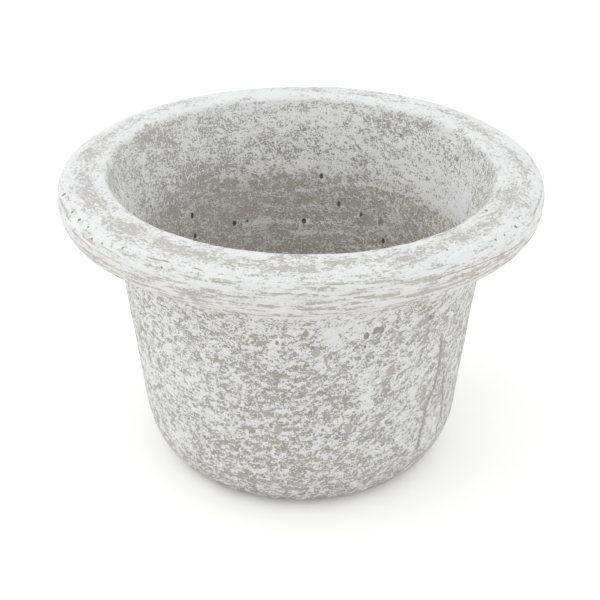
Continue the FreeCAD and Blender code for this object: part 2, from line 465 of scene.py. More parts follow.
def conic_run():
    """Tree of a stretch of a section that leaves its start towards a corner and reaches its end from there."""
    if CONIC_RUN in bpy.data.node_groups:
        return bpy.data.node_groups[CONIC_RUN]
    inputs = dict.fromkeys(("Start", "Corner", "End"), "NodeSocketVector")
    inputs |= dict.fromkeys(("Fullness", "Spacing", "Station", "Start Run"), "NodeSocketFloat")
    plan, size = geometry_tree(CONIC_RUN, inputs, {"Curve": "NodeSocketGeometry", "End Run": "NodeSocketFloat"})
    start, corner, end = size["Start"], size["Corner"], size["End"]
    sides = [plan.vector("DISTANCE", *pair) for pair in ((start, corner), (corner, end), (start, end))]
    points = plan.math("CEIL", (sides[0] + sides[1] + sides[2]) / 2 / size["Spacing"]) + 1
    curve = plan.add("GeometryNodeCurvePrimitiveLine")
    curve = plan.add("GeometryNodeResampleCurve", {"Curve": curve, "Count": points}, mode="COUNT")
    along = plan.add("GeometryNodeSplineParameter")
    back = 1 - along
    weights = back * back, along * back * size["Fullness"] * 2, along * along
    pulls = [plan.scaled(point, weight) for point, weight in zip((start, corner, end), weights)]
    total = weights[0] + weights[1] + weights[2]
    place = plan.scaled(plan.vector("ADD", plan.vector("ADD", pulls[0], pulls[1]), pulls[2]), 1 / total)
    curve = plan.add("GeometryNodeSetPosition", {"Geometry": curve, "Position": place})
    curve = plan.store(curve, "run", size["Start Run"] + along.pick("Length"))
    curve = plan.store(curve, "station", size["Station"] + along)
    end_run = size["Start Run"] + plan.add("GeometryNodeCurveLength", {"Curve": curve})
    plan.add("NodeGroupOutput", {"Curve": curve, "End Run": end_run})
    return plan.tree


def turned(plan, stretches, columns, radius):
    """Surface of revolution of a section given as stretches, in coordinates from a circle of that radius."""
    run, curves = 0.0, []
    for station, (start, corner, end, full, spacing) in enumerate(stretches):
        if corner is None:
            corner = plan.scaled(plan.vector("ADD", start, end), 0.5)
        stretch = plan.add("GeometryNodeGroup", {
            "Start": start, "Corner": corner, "End": end, "Fullness": full,
            "Spacing": spacing, "Station": float(station), "Start Run": run,
        }, node_tree=conic_run())
        curves.append(stretch)
        run = stretch.pick("End Run")
    section = plan.add("GeometryNodeJoinGeometry", {"Geometry": curves})
    circle = plan.add("GeometryNodeSetCurveNormal", {"Curve": plan.ring(columns, radius)}, mode="Z_UP")
    skin = plan.add("GeometryNodeCurveToMesh", {"Curve": circle, "Profile Curve": section})
    skin = plan.add("GeometryNodeMergeByDistance", {"Geometry": skin, "Distance": WELD})
    return plan.add("GeometryNodeFlipFaces", {"Mesh": skin})


def finished(plan, solid, material):
    """Real geometry, smooth but for its sharp edges, in one material."""
    solid = plan.add("GeometryNodeSetShadeSmooth", {"Geometry": solid, "Shade Smooth": True})
    bend = plan.add("GeometryNodeInputMeshEdgeAngle")
    sharp = plan.add("FunctionNodeCompare", {"A": bend, "B": SHARP_EDGE}, operation="GREATER_THAN")
    solid = plan.add("GeometryNodeSetShadeSmooth", {
        "Geometry": solid, "Selection": sharp, "Shade Smooth": False,
    }, domain="EDGE")
    solid = plan.add("GeometryNodeRealizeInstances", {"Geometry": solid})
    return plan.add("GeometryNodeSetMaterial", {"Geometry": solid, "Material": material})


# Casting

# Stretches of the casting's section, in order. A point's station is its stretch's place in the order plus how far
# along the stretch it lies, from 0 to 1
(
    SEAT_FOOT, UNDERSIDE, FOOT, WALL, COVE, ROLL_BELOW, ROLL, LIP, FLARE, INNER_WALL, FLOOR_CORNER, FLOOR, SEAT
) = range(13)

# Step along the section, in its usual steps: on the lip, on the roll, and on what lies under the pot or at the drain
LIP_STEP = 0.35
ROLL_STEP = 0.75
COARSE_STEP = 2

# Noise stays mostly within a sixth of its middle, so this brings it to about half of the height that it is given
NOISE_REACH = 3

# Air holes: limits of the odd shape of the ones seen and of the scattered ones, and how few of these are large
SEEN_STRETCH = (0.95, 1.15)
SCATTERED_STRETCH = (0.75, 1.2)
SMALL_BIAS = 5

# Grooves: step along them, how far they leave their path, the thinnest end, and the narrowest and widest places
GROOVE_STEP = 0.002
GROOVE_DRIFT = 0.0035
GROOVE_END = 0.1
GROOVE_NARROW, GROOVE_WIDE = 0.58, 1.18
WIRE_SIDES = 8

# Room of the hoop: steps round it, and its radius in diameters of the wire
HOOP_STEPS = 96
HOOP_ROOM = 0.52


def casting_stretches(plan, size):
    """Section of the casting, from the foot of the sleeve's hole round to the hole again."""
    rim_radius, height, spacing = size["Rim radius"], size["Pot height"], size["Spacing"]

    def at(radius, level):
        return plan.xyz(radius - rim_radius, 0 - (level + size["Pad thickness"]))

    slope = plan.math("TANGENT", size["Wall draft"])
    neck_level = height - size["Neck drop"]
    neck_radius = rim_radius - size["Rim overhang"]

    def outer(level):
        return neck_radius + (level - neck_level) * slope

    def inner(level):
        return outer(level) - size["Wall"]

    seat, collar, floor = size["Seat radius"], size["Seat collar radius"], size["Floor"]
    ledge = floor - size["Seat collar depth"]
    seat_middle = at(seat, ledge * 0.5)
    seat_foot = at(seat, 0)
    base_end = at(outer(0) - size["Base corner inset"], 0)
    wall_start = at(outer(size["Base corner height"]), size["Base corner height"])
    neck = at(neck_radius, neck_level)
    under_level = height - size["Rim thickness"]
    under = at(rim_radius - size["Rim underside inset"], under_level)
    widest = at(rim_radius, height - size["Rim widest drop"])
    mouth = rim_radius - size["Rim width"]
    crown = at(mouth + size["Lip rounding"], height)
    edge = at(mouth, height)
    turn_level = (neck_level + height) * 0.5
    turn = at(inner(turn_level), turn_level)
    down = plan.vector("NORMALIZE", plan.vector("SUBTRACT", turn, edge))
    lip = plan.vector("ADD", edge, plan.scaled(down, size["Lip rounding"]))
    inner_neck = at(inner(neck_level), neck_level)
    corner_top = floor + size["Floor corner"]
    wall_foot = at(inner(corner_top), corner_top)
    floor_edge = at(inner(floor) - size["Floor corner"], floor)
    coarse, on_roll = spacing * COARSE_STEP, spacing * ROLL_STEP
    return [
        (seat_middle, None, seat_foot, 1.0, coarse),
        (seat_foot, None, base_end, 1.0, coarse),
        (base_end, at(outer(0), 0), wall_start, size["Base corner fullness"], spacing),
        (wall_start, None, neck, 1.0, spacing),
        (neck, at(outer(under_level), under_level), under, size["Cove fullness"], spacing),
        (under, at(rim_radius, under_level), widest, size["Rim underside fullness"], on_roll),
        (widest, at(rim_radius, height), crown, size["Rim top fullness"], on_roll),
        (crown, edge, lip, size["Lip fullness"], spacing * LIP_STEP),
        (lip, turn, inner_neck, size["Mouth flare fullness"], spacing),
        (inner_neck, None, wall_foot, 1.0, spacing),
        (wall_foot, at(inner(floor), floor), floor_edge, size["Floor corner fullness"], spacing),
        (floor_edge, None, at(collar, floor), 1.0, coarse),
        (at(collar, floor), None, at(collar, ledge), 1.0, coarse),
        (at(collar, ledge), None, at(seat, ledge), 1.0, coarse),
        (at(seat, ledge), None, seat_middle, 1.0, coarse),
    ]


def uneven_skin(plan, size, skin):
    """Hand-made unevenness: slow waves, small lumps and a mouth that isn't a true circle."""
    place = plan.add("GeometryNodeInputPosition")
    station = plan.named("station")
    free = plan.ramp(station, FOOT + 0.2, FOOT + 0.9) * (1 - plan.ramp(station, FLOOR_CORNER, FLOOR_CORNER + 0.9))
    waves = (plan.noise(place, scale=17, detail=2.0, roughness=0.5) - 0.5) * size["Waviness"] * NOISE_REACH
    lumps = (plan.noise(place, scale=95, detail=3.0, roughness=0.6) - 0.5) * size["Lumps"] * NOISE_REACH
    rough = plan.scaled(plan.add("GeometryNodeInputNormal"), (waves + lumps) * free)
    x, y, _ = plan.split(place)
    turn = plan.math("ARCTAN2", y, x) - size["Lip lobes turn"]
    lobes = plan.math("COSINE", turn * 2) * size["Lip lobes"]
    near_lip = plan.ramp(station, ROLL + 0.4, LIP + 0.2) * (1 - plan.ramp(station, LIP + 0.8, FLARE + 0.8))
    outward = plan.vector("NORMALIZE", plan.xyz(x, y))
    shift = plan.vector("ADD", rough, plan.scaled(outward, lobes * near_lip))
    return plan.add("GeometryNodeSetPosition", {"Geometry": skin, "Offset": shift})


def lifted(plan, skin):
    """Way from the skin to the middle of a cutter, out of the skin at the place of each point."""
    normal = plan.add("GeometryNodeInputNormal")
    sockets = {"Mesh": skin, "Value": normal}
    outward = plan.add("GeometryNodeSampleNearestSurface", sockets, data_type="FLOAT_VECTOR")
    return plan.scaled(outward, plan.named("size") * plan.named("lift"))


def air_hole_cutters(plan, size, skin):
    """Balls at the places of the air holes that are given, and at scattered ones."""
    ball = plan.add("GeometryNodeMeshIcoSphere", {"Radius": 1.0, "Subdivisions": 2})
    seed = size["Seed"]
    places = plan.add("GeometryNodeSetPosition", {
        "Geometry": plan.given(size["Air hole places"]), "Offset": lifted(plan, skin),
    })
    upright = plan.xyz(1.0, 1.0, size["Air hole height"])
    tall = plan.vector("MULTIPLY", plan.chance(seed + 4, *SEEN_STRETCH), upright)
    seen = plan.add("GeometryNodeInstanceOnPoints", {
        "Points": places, "Instance": ball, "Scale": plan.scaled(tall, plan.named("size")),
    })
    station = plan.named("station")
    open_face = plan.ramp(station, FOOT, FOOT + 0.3) * (1 - plan.ramp(station, FLOOR + 0.5, FLOOR + 0.6))
    points = plan.add("GeometryNodeDistributePointsOnFaces", {
        "Mesh": skin, "Density": open_face * size["Air holes"], "Seed": seed + 2,
    })
    large = plan.add("FunctionNodeRandomValue", {"Seed": seed + 3}) ** SMALL_BIAS
    radius = size["Smallest air hole"] + (size["Largest air hole"] - size["Smallest air hole"]) * large
    scattered = plan.add("GeometryNodeInstanceOnPoints", {
        "Points": points, "Instance": ball, "Rotation": plan.chance(seed, 0.0, math.tau),
        "Scale": plan.scaled(plan.chance(seed + 1, *SCATTERED_STRETCH), radius),
    })
    return [seen, scattered]


def groove_cutters(plan, size, skin):
    """Thin tapered wires that lie on the skin along the given paths."""
    paths = plan.add("GeometryNodeMeshToCurve", {"Mesh": plan.given(size["Groove paths"])})
    paths = plan.add("GeometryNodeResampleCurve", {"Curve": paths, "Length": GROOVE_STEP}, mode="LENGTH")
    place = plan.add("GeometryNodeInputPosition")
    drift = plan.noise(place, scale=120, detail=2.0, roughness=0.6).pick("Color")
    drift = plan.vector("SUBTRACT", drift, (0.5, 0.5, 0.5))
    near = plan.add("GeometryNodeProximity", {
        "Geometry": skin, "Sample Position": plan.vector("ADD", place, plan.scaled(drift, GROOVE_DRIFT)),
    }, target_element="FACES")
    along = plan.add("GeometryNodeSplineParameter")
    to_end = plan.math("MINIMUM", along, 1 - along)
    taper = plan.ramp(to_end, 0.0, 0.2) * (1 - GROOVE_END) + GROOVE_END
    wide = plan.ramp(plan.noise(place, scale=150, detail=2.0), 0.34, 0.62)
    breaks = GROOVE_NARROW + wide * (GROOVE_WIDE - GROOVE_NARROW)
    raised = plan.vector("ADD", near, lifted(plan, skin))
    paths = plan.add("GeometryNodeSetPosition", {"Geometry": paths, "Position": raised})
    return plan.add("GeometryNodeCurveToMesh", {
        "Curve": paths, "Profile Curve": plan.ring(WIRE_SIDES, 1.0),
        "Scale": plan.named("size") * taper * breaks, "Fill Caps": True,
    })


def hoop_cutter(plan, size):
    """Room of the wire hoop inside the rim."""
    wire = plan.add("GeometryNodeCurveToMesh", {
        "Curve": plan.ring(HOOP_STEPS, size["Hoop radius"]),
        "Profile Curve": plan.ring(WIRE_SIDES, size["Hoop wire"] * HOOP_ROOM),
    })
    level = size["Pot height"] + size["Pad thickness"] - size["Hoop drop"]
    return plan.add("GeometryNodeTransform", {"Geometry": wire, "Translation": plan.xyz(0.0, 0.0, level)})


def casting_tree(sizes, wash, bare):
    """Whole casting: turned section, unevenness, then air holes, grooves and the hoop's room cut from it."""
    given = dict.fromkeys(("Air hole places", "Groove paths"), "NodeSocketObject")
    plan, size = piece_tree("Casting", sizes, **given)
    skin = turned(plan, casting_stretches(plan, size), size["Columns"], size["Rim radius"])
    skin = uneven_skin(plan, size, skin)
    cutters = [*air_hole_cutters(plan, size, skin), groove_cutters(plan, size, skin), hoop_cutter(plan, size)]
    cutters = plan.add("GeometryNodeJoinGeometry", {"Geometry": cutters})
    cutters = plan.add("GeometryNodeRealizeInstances", {"Geometry": cutters})
    cutters = plan.store(cutters, "cut", True, "BOOLEAN", "FACE")
    cutters = plan.store(cutters, "cut_lift", plan.named("lift"), "FLOAT", "FACE")
    solid = plan.add(
        "GeometryNodeMeshBoolean", {"Mesh 1": skin, "Mesh 2": [cutters]}, operation="DIFFERENCE", solver="MANIFOLD"
    )
    for name in ("run", "station"):
        value = plan.add("GeometryNodeSampleNearestSurface", {"Mesh": skin, "Value": plan.named(name)})
        solid = plan.store(solid, name, value)
    solid = finished(plan, solid, wash)
    solid = plan.add("GeometryNodeSetMaterial", {
        "Geometry": solid, "Selection": plan.named("cut", "BOOLEAN"), "Material": bare,
    })
    plan.add("NodeGroupOutput", {"Geometry": solid})
    return plan.tree


# Stopper and pads

FITTING_FULLNESS = 0.7

# Radius of the hollow in the knob, in radii of the knob
DISH_WIDTH = 0.7

# Radii of the rings in a pad's tread, in radii of the pad, and their depth in widths of a ring
TREAD_RINGS = (0.3, 0.62)
TREAD_DEPTH = 0.6


def turned_fitting(plan, size, outline, columns, radius):
    """Turned piece from its outline: radius and level of each point, then of a corner rounded on the way to it."""
    def at(reach, level):
        return plan.xyz(reach - radius, 0 - level)

    places = [(at(*point), at(*corner) if corner else None) for point, corner in outline]
    stretches = [
        (start, corner, end, FITTING_FULLNESS, size["Fitting spacing"])
        for (start, _), (end, corner) in zip(places, places[1:])
    ]
    return turned(plan, stretches, columns, radius)


def plug_tree(sizes, rubber):
    """Stopper: tapered stem, flange with a rounded edge, neck, and a knob with a hollow for the thumb."""
    plan, size = piece_tree("Stopper", sizes)
    flange, neck, knob = size["Flange radius"], size["Neck radius"], size["Knob radius"]
    edge, floor = size["Stopper edge"], size["Drain level"]
    foot_level = floor - size["Stem length"]
    top = size["Drain radius"] - size["Clearance"]
    foot = top - size["Stem length"] * plan.math("TANGENT", size["Drain taper"])
    flange_top = floor + size["Flange thickness"]
    knob_bottom = flange_top + size["Neck height"]
    knob_top = knob_bottom + size["Knob height"]
    dish, dish_level = knob * DISH_WIDTH, knob_top - size["Thumb dish"]
    outline = [
        ((0, foot_level), None), ((foot - edge, foot_level), None), ((foot, foot_level + edge), (foot, foot_level)),
        ((top, floor), None), ((flange, floor), None), ((flange, flange_top - edge), None),
        ((flange - edge, flange_top), (flange, flange_top)), ((neck + edge, flange_top), None),
        ((neck, flange_top + edge), (neck, flange_top)), ((neck, knob_bottom), None),
        ((knob, knob_bottom + edge), (neck + edge, knob_bottom)), ((knob, knob_top - edge), None),
        ((knob - edge, knob_top), (knob, knob_top)), ((dish, knob_top), None),
        ((0, dish_level), (dish * 0.5, dish_level)),
    ]
    plug = turned_fitting(plan, size, outline, size["Stopper columns"], flange)
    plan.add("NodeGroupOutput", {"Geometry": finished(plan, plug, rubber)})
    return plan.tree


def pad_tree(sizes, rubber):
    """Pads with a rounded edge and two rings in their tread, in a circle."""
    plan, size = piece_tree("Pads", sizes)
    radius, edge, groove, top = size["Pad radius"], size["Pad edge"], size["Pad groove"], size["Pad thickness"]
    outline = [((0, 0), None)]
    for share_of_radius in TREAD_RINGS:
        near = radius * share_of_radius
        outline += [((near, 0), None), ((near + groove, 0), (near + groove * 0.5, groove * TREAD_DEPTH))]
    outline += [((radius - edge, 0), None), ((radius, edge), (radius, 0)), ((radius, top), None), ((0, top), None)]
    pad = turned_fitting(plan, size, outline, size["Pad columns"], radius)
    circle = plan.add("GeometryNodeMeshCircle", {"Vertices": size["Pad count"], "Radius": size["Pad ring"]})
    half_step = plan.xyz(0.0, 0.0, math.pi / size["Pad count"])
    circle = plan.add("GeometryNodeTransform", {"Geometry": circle, "Rotation": half_step})
    pads = plan.add("GeometryNodeInstanceOnPoints", {"Points": circle, "Instance": pad})
    plan.add("NodeGroupOutput", {"Geometry": finished(plan, pads, rubber)})
    return plan.tree


# Meshes and places

def new_object(name, data):
    thing = bpy.data.objects.new(name, data)
    bpy.context.scene.collection.objects.link(thing)
    return thing


def plain_mesh(name, tree, group, **others):
    """Mesh that a geometry tree gives for a property group's values."""
    holder = new_object(name + "_holder", bpy.data.meshes.new(name + "_holder"))
    modifier = holder.modifiers.new(name, "NODES")
    modifier.node_group = tree
    set_inputs(modifier, group, **others)
    depsgraph = bpy.context.evaluated_depsgraph_get()
    mesh = bpy.data.meshes.new_from_object(holder.evaluated_get(depsgraph))
    mesh.name = name
    bpy.data.objects.remove(holder)
    return mesh


def marked_points(name, paths, **marks):
    """Object of points joined into paths, with marks that each path passes on to its points."""
    points, edges = [], []
    for path in paths:
        first = len(points)
        points += path
        edges += [(i, i + 1) for i in range(first, len(points) - 1)]
    mesh = bpy.data.meshes.new(name)
    mesh.from_pydata(points, edges, [])
    for mark, values in marks.items():
        spread = [value for path, value in zip(paths, values) for _ in path]
        mesh.attributes.new(mark, "FLOAT", "POINT").data.foreach_set("value", spread)
    return new_object(name, mesh)


def camera_matrix(stage):
    """Place of the camera, which looks at its target from the front and above."""
    back = Vector((0, -math.cos(stage.elevation), math.sin(stage.elevation)))
    place = Vector((0, 0, stage.target_height)) + back * stage.distance
    return Matrix.Translation(place) @ back.to_track_quat("Z", "Y").to_matrix().to_4x4()


class Sight:
    """Finds the point of a mesh that the photograph shows at a pixel."""

    def __init__(self, mesh, stage):
        points = [v.co for v in mesh.vertices]
        self.tree = BVHTree.FromPolygons(points, [p.vertices for p in mesh.polygons])
        self.camera = camera_matrix(stage)
        self.stage = stage

    def point(self, x, y):
        middle = PICTURE / 2
        ray = Vector((x - middle - self.stage.centre_pixels, middle - y, -self.stage.focal_pixels))
        eye = self.camera.translation
        hit, _, _, _ = self.tree.ray_cast(eye, (self.camera.to_3x3() @ ray).normalized())
        if hit is None:
            raise RuntimeError(f"pixel {x}, {y} of the photograph doesn't show the casting")
        return hit


# Materials

# Beyond this radius, in metres, the whitewash is laid out along the surface as on a cylinder of this radius
WASH_RADIUS = 0.15

# How far the level of the paint rises from no cover to full cover
COVER_REACH = 0.42


def new_material(name):
    """Empty node material, the plan of its tree and the place on its object."""
    material = bpy.data.materials.new(name)
    material.use_nodes = True
    material.node_tree.nodes.clear()
    plan = Plan(material.node_tree)
    return material, plan, plan.add("ShaderNodeTexCoord").pick("Object")


def dressed(plan, **sockets):
    """Ends a material's tree in a Principled shader with these sockets."""
    sockets = {name.replace("_", " "): value for name, value in sockets.items()}
    shader = plan.add("ShaderNodeBsdfPrincipled", sockets)
    plan.add("ShaderNodeOutputMaterial", {"Surface": shader})


def bump(plan, height, strength, depth):
    return plan.add("ShaderNodeBump", {"Strength": strength, "Distance": depth, "Height": height})


def whitewash_material(colours):
    """Lime wash over concrete: dabbed on the body, rubbed off in islands on the rim, streaked below it."""
    material, plan, place = new_material("whitewashed_concrete")
    x, y, _ = plan.split(place)
    turn = plan.math("MINIMUM", WASH_RADIUS / (x * x + y * y) ** 0.5, 1.0)
    # Cover and film, read here, also carry painted light on the sides and a few marks of painted light and shade
    run, cover, brushed, film, inner, stain = (
        plan.attribute(name) for name in ("run", "cover", "brushed", "film", "inner", "stain")
    )

    def pattern(stretch, scale, detail, roughness, distortion=0.0, slant=0.0):
        """Noise about zero along the surface, drawn out round the pot and rising to the right."""
        along = run - plan.math("MAXIMUM", x, 0.0) * slant if slant else run
        wrapped = plan.xyz(x * turn / stretch, y * turn / stretch, along)
        return plan.noise(wrapped, scale, detail, roughness, distortion) - 0.5

    speckle = pattern(stretch=1.7, scale=215, detail=4.0, roughness=0.74, distortion=0.5, slant=0.4)
    fine = pattern(stretch=1.2, scale=430, detail=3.0, roughness=0.66, distortion=0.5)
    grain = pattern(stretch=1.2, scale=800, detail=2.0, roughness=0.6)
    fleck = pattern(stretch=2.0, scale=330, detail=4.0, roughness=0.74, distortion=0.3)
    cluster = pattern(stretch=2.2, scale=95, detail=3.0, roughness=0.6)
    patch = pattern(stretch=1.3, scale=42, detail=3.0, roughness=0.6)
    streak = pattern(stretch=9.0, scale=420, detail=3.0, roughness=0.62, distortion=0.2)
    combed = pattern(stretch=0.3, scale=90, detail=3.0, roughness=0.6)
    crackle = plan.math("ABSOLUTE", pattern(stretch=3.0, scale=210, detail=3.0, roughness=0.6, distortion=1.0))
    crackle = (1 - plan.ramp(crackle, 0.01, 0.05)) * plan.ramp(cluster, -0.08, 0.06)
    pin_dips_and_shade = pattern(stretch=1.3, scale=330, detail=3.0, roughness=0.7)

    # Where the wash lies: each part of the pot has its own mixture of patterns
    worn = inner * stain
    some, much = plan.ramp(brushed, 0.0, 0.5), plan.ramp(brushed, 0.5, 1.0)
    dabbed = speckle * 0.85 + fine * 0.55 + grain * 0.5
    inside = speckle * (0.7 - worn * 0.1) + fine * 0.6 + grain * 0.75 + patch * 0.3
    inside = inside + streak * 0.15 + combed * (0.15 + worn * 0.2) + crackle * 0.2
    islands = fleck * 0.7 + fine * 0.45 + grain * 0.5 + cluster * 0.4
    streaks = streak * 0.95 + fleck * 0.5 + grain * 0.4
    mixture = (dabbed * (1 - inner) + inside * inner) * (1 - some) + islands * (some - much) + streaks * much
    level = mixture + (cover - 0.5) * COVER_REACH
    soft = 0.02 + worn * 0.015
    paint = plan.ramp(level, 0 - soft, soft)
    paint = paint + (1 - paint) * crackle * worn * 0.9
    thick = plan.ramp(level, 0.0, 0.12) * (1 - inner)

    # Colour of the concrete, of the wash on it, and of the pin holes in both, with painted shade in the pin holes
    # and along the edges of the wash
    tone = plan.ramp(plan.noise(place, scale=120, detail=4.0, roughness=0.65) + grain * 0.6, 0.32, 0.68)
    concrete = plan.blend(tone, colours.dark_concrete, colours.concrete)
    concrete = plan.blend(film, concrete, colours.film)
    # Painted shade: bare concrete darkens next to the edges of the wash, as the shade of the raised paint would
    # darken it
    edge = plan.ramp(level, -0.1, -0.015) * (1 - paint) * (1 - inner) * (1 - some * 0.75)
    concrete = plan.blend(edge * 0.45, concrete, colours.painted_hollow_shade)
    wash = plan.blend(thick, plan.blend(inner, colours.thin_wash, colours.inner_wash), colours.wash)
    surface = plan.blend(stain, plan.blend(paint, concrete, wash), colours.stain, way="MULTIPLY")
    # Pin holes: painted shade darkens them toward the dark tone, and the bump below also sinks them
    pin_dips_and_shade = plan.ramp(pin_dips_and_shade, 0.16, 0.22) * (1 - some * 0.8)
    surface = plan.blend(pin_dips_and_shade * 0.55, surface, colours.painted_hollow_shade)

    relief = paint * 0.4 + speckle * 0.9 + fine * 0.7 + grain * 0.6 - pin_dips_and_shade * 0.25
    height = relief * (1 + inner * 0.35 + worn * 0.3) + crackle * worn * 0.9 + (streak * 0.4 + combed * 0.4) * inner
    dressed(
        plan, Base_Color=surface, Roughness=0.95 - thick * 0.08,
        Normal=bump(plan, height, strength=0.7, depth=0.0014), Specular_IOR_Level=0.25,
    )
    return material


def bare_concrete_material(colours):
    """Concrete that no wash has reached: painted shade in deep air holes, smooth cement skin in shallow dents and
    lines.
    """
    material, plan, place = new_material("bare_concrete")
    tone = plan.noise(place, scale=300, detail=4.0, roughness=0.65)
    lift = plan.attribute("cut_lift")
    bare = plan.blend(plan.ramp(tone, 0.35, 0.65), colours.dark_concrete, colours.concrete)
    # Painted shade: the faces of deep air holes take the dark tone of the shade inside them
    bare = plan.blend(1 - plan.ramp(lift, -0.5, -0.1), bare, colours.painted_hollow_shade)
    dressed(
        plan, Base_Color=plan.blend(plan.ramp(lift, 0.4, 0.8), bare, colours.laitance),
        Roughness=0.9 + tone * 0.1, Normal=bump(plan, tone, strength=0.4, depth=0.0003), Specular_IOR_Level=0.2,
    )
    return material


def rubber_material(colours):
    """Moulded rubber with cement dust in its grain."""
    material, plan, place = new_material("moulded_rubber")
    grain = plan.noise(place, scale=1500, detail=3.0, roughness=0.6)
    dust = plan.ramp(plan.noise(place, scale=130, detail=5.0, roughness=0.7) + grain * 0.3, 0.62, 0.86)
    dressed(
        plan, Base_Color=plan.blend(dust, colours.rubber, colours.rubber_dust),
        Roughness=0.58 + dust * 0.3 + grain * 0.08,
        Normal=bump(plan, grain, strength=0.25, depth=0.0002), Specular_IOR_Level=0.4,
    )
    return material


def plastic_material(colours):
    """Moulded plastic, rubbed by the form and by gravel."""
    material, plan, place = new_material("moulded_plastic")
    grain = plan.noise(place, scale=1800, detail=2.0, roughness=0.6)
    scuff = plan.ramp(plan.noise(place, scale=240, detail=5.0, roughness=0.7, distortion=0.6), 0.52, 0.66)
    dressed(
        plan, Base_Color=plan.blend(scuff, colours.sleeve, colours.sleeve_scuff),
        Roughness=0.38 + scuff * 0.25 + grain * 0.08,
        Normal=bump(plan, grain + scuff * 0.4, strength=0.15, depth=0.0002), Specular_IOR_Level=0.5,
    )
    return material


def wire_material(colours):
    """Drawn steel wire: fine lines along it and specks of rust."""
    material, plan, place = new_material("drawn_wire")
    x, y, z = plan.split(place)
    radius = (x * x + y * y) ** 0.5
    drawn = plan.xyz(x / radius * 0.004, y / radius * 0.004, z + radius * 1.7)
    lines = plan.noise(drawn, scale=2600, detail=2.0, roughness=0.6)
    rust = plan.ramp(plan.noise(place, scale=170, detail=5.0, roughness=0.7), 0.56, 0.7)
    dressed(
        plan, Base_Color=plan.blend(rust, colours.steel, colours.rust), Metallic=1 - rust * 0.9,
        Roughness=0.3 + lines * 0.2 + rust * 0.35, Normal=bump(plan, lines, strength=0.2, depth=0.0001),
    )
    return material


# Paint on the casting

# By station of the section: share of the surface that paint covers, how far it is brushed out into islands and then
# streaks, how much of a thin film is left on the bare places, how far the place is inside, and the stain on it
PAINT = {
    "cover": (
        (FOOT, 0.3), (FOOT + 0.3, 0.52), (WALL, 0.55), (WALL + 0.8, 0.57), (COVE, 0.61), (COVE + 0.12, 0.67),
        (COVE + 0.22, 0.65), (COVE + 0.5, 0.62), (ROLL_BELOW + 0.2, 0.63), (ROLL_BELOW + 0.45, 0.73),
        (ROLL_BELOW + 0.54, 0.65), (ROLL_BELOW + 0.74, 0.65), (ROLL_BELOW + 0.88, 0.72), (ROLL, 0.73),
        (ROLL + 0.2, 0.74), (ROLL + 0.38, 0.79), (ROLL + 0.52, 0.65), (ROLL + 0.75, 0.56), (ROLL + 0.9, 0.74),
        (LIP + 0.3, 0.8), (LIP + 0.9, 0.66), (FLARE + 0.1, 0.5), (FLARE + 0.3, 0.56), (FLARE + 0.5, 0.6),
        (FLARE + 0.75, 0.53), (FLARE + 0.9, 0.35), (INNER_WALL + 0.1, 0.3), (INNER_WALL + 0.4, 0.34), (FLOOR, 0.4),
    ),
    "brushed": (
        (COVE + 0.36, 0.0), (COVE + 0.5, 1.0), (ROLL + 0.1, 1.0), (ROLL + 0.3, 0.6), (LIP, 0.5), (FLARE, 0.3),
        (FLARE + 0.5, 0.0),
    ),
    "film": (
        (FOOT, 0.1), (WALL, 0.1), (COVE + 0.35, 0.15), (COVE + 0.5, 0.5), (ROLL_BELOW + 0.5, 0.65), (ROLL, 0.8),
        (LIP, 0.75), (FLARE, 0.4), (FLARE + 0.5, 0.15), (INNER_WALL + 0.1, 0.3),
    ),
    "inner": ((LIP + 0.7, 0.0), (FLARE + 0.1, 1.0)),
    "stain": (
        (FOOT, 0.15), (COVE, 0.15), (COVE + 0.2, 0.4), (COVE + 0.5, 0.8), (ROLL_BELOW + 0.8, 0.6), (ROLL + 0.1, 0.1),
        (ROLL + 0.3, 0.0), (FLARE + 0.72, 0.0), (FLARE + 0.92, 0.8), (INNER_WALL + 0.2, 1.0), (FLOOR, 1.0),
    ),
}
